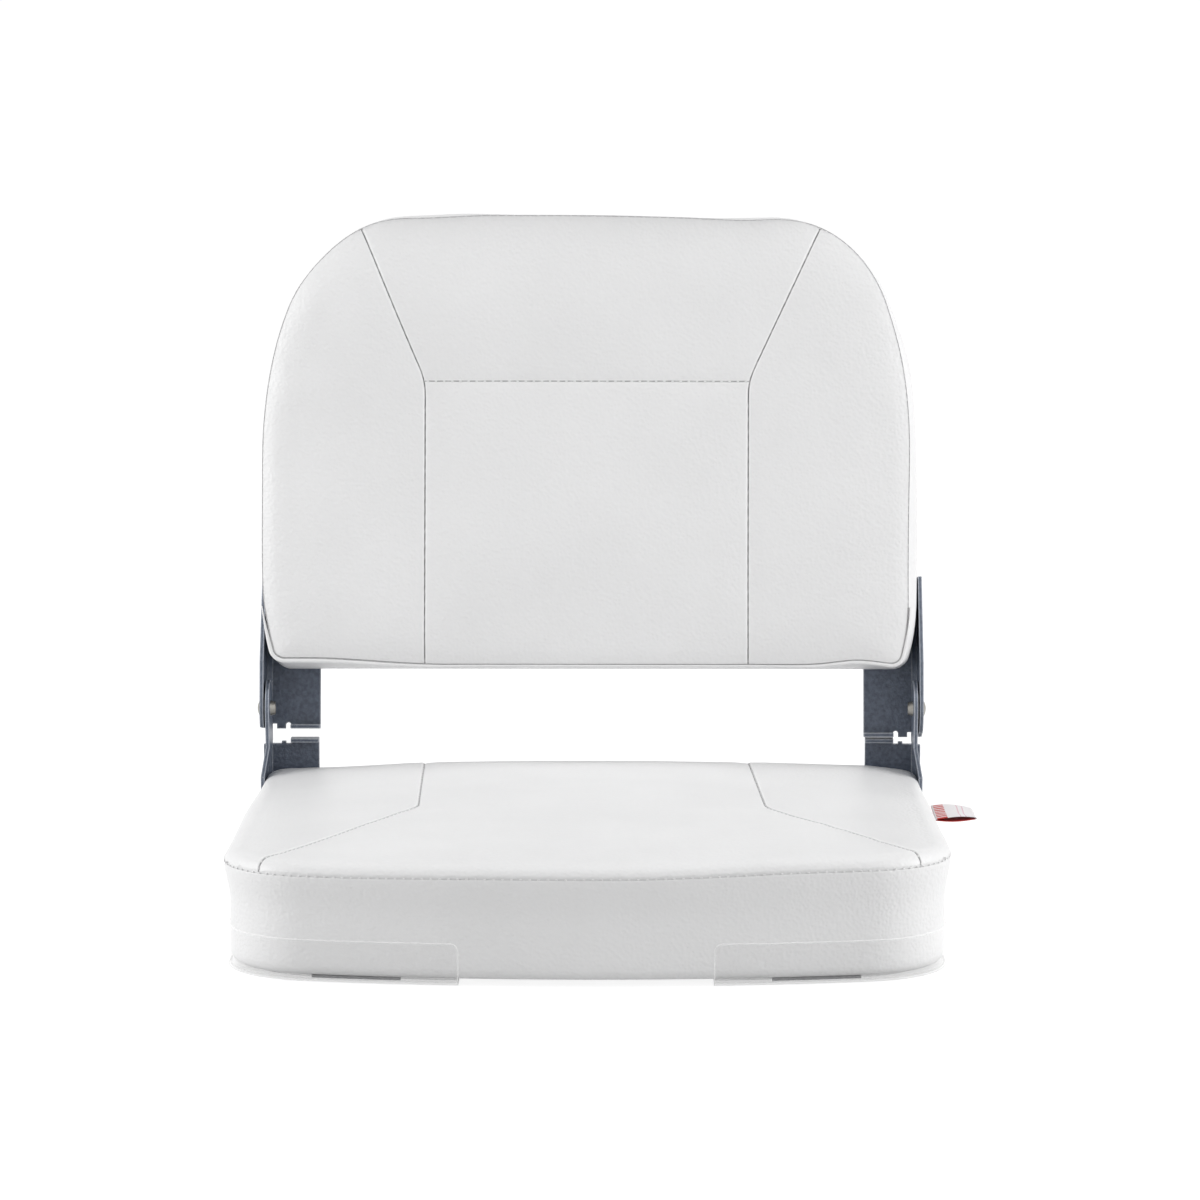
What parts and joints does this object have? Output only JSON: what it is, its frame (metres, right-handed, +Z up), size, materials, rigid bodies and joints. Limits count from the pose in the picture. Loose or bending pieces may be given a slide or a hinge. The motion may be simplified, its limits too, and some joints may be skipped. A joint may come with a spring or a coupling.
{
  "type": "folding boat seat",
  "caption": "Low padded boat seat with a backrest that folds forward on riveted side hinges, white vinyl over a moulded pan with threaded inserts underneath.",
  "frame": {"origin": "centre of the four threaded inserts, on the mounting face under the seat pan", "axes": "+Z up, -Y to the front of the seat, +X to the right as seen from the front"},
  "size_m": [0.4556, 0.4601, 0.4231],
  "materials": {
    "white_vinyl": "satin grained vinyl",
    "foam": "open cell foam",
    "pan_plastic": "moulded matte",
    "board": "raw plywood",
    "grey_paint": "textured powder coat",
    "nickel": "nickel plated",
    "zinc_steel": "zinc plated",
    "nylon": "natural nylon",
    "tag_fabric": "satin ribbon, red band",
    "clear_plastic": "clear gloss",
    "grey_tape": "matte foam tape"
  },
  "bodies": {
    "seat": {"seat_pan": "pan_plastic", "seat_foam": "foam", "seat_cover_centre": "white_vinyl", "seat_cover_left": "white_vinyl", "seat_cover_right": "white_vinyl", "seat_cover_boxing": "white_vinyl", "seat_cover_staples": "zinc_steel", "mount_t_nuts": "zinc_steel", "side_tag": "tag_fabric", "corner_guard_left": "clear_plastic", "corner_guard_right": "clear_plastic", "guard_tape_left": "grey_tape", "guard_tape_right": "grey_tape", "lower_hinge_left": "grey_paint", "lower_hinge_right": "grey_paint", "seat_hinge_screws_left": "zinc_steel", "seat_hinge_screws_right": "zinc_steel", "pivot_rivet_left": "nickel", "pivot_rivet_right": "nickel", "pivot_washer_left": "nylon", "pivot_washer_right": "nylon"},
    "back": {"back_board": "board", "back_foam": "foam", "back_cover_centre": "white_vinyl", "back_cover_top": "white_vinyl", "back_cover_left": "white_vinyl", "back_cover_right": "white_vinyl", "back_cover_boxing": "white_vinyl", "back_cover_rear": "white_vinyl", "back_welt": "white_vinyl", "upper_hinge_left": "grey_paint", "upper_hinge_right": "grey_paint", "back_hinge_screws_left": "zinc_steel", "back_hinge_screws_right": "zinc_steel"}
  },
  "joints": [
    {"name": "back_fold", "type": "hinge", "parent": "seat", "child": "back", "pos_m": [0, 0.175, 0.108], "axis": [1, 0, 0], "range_deg": [0, 100]}
  ]
}
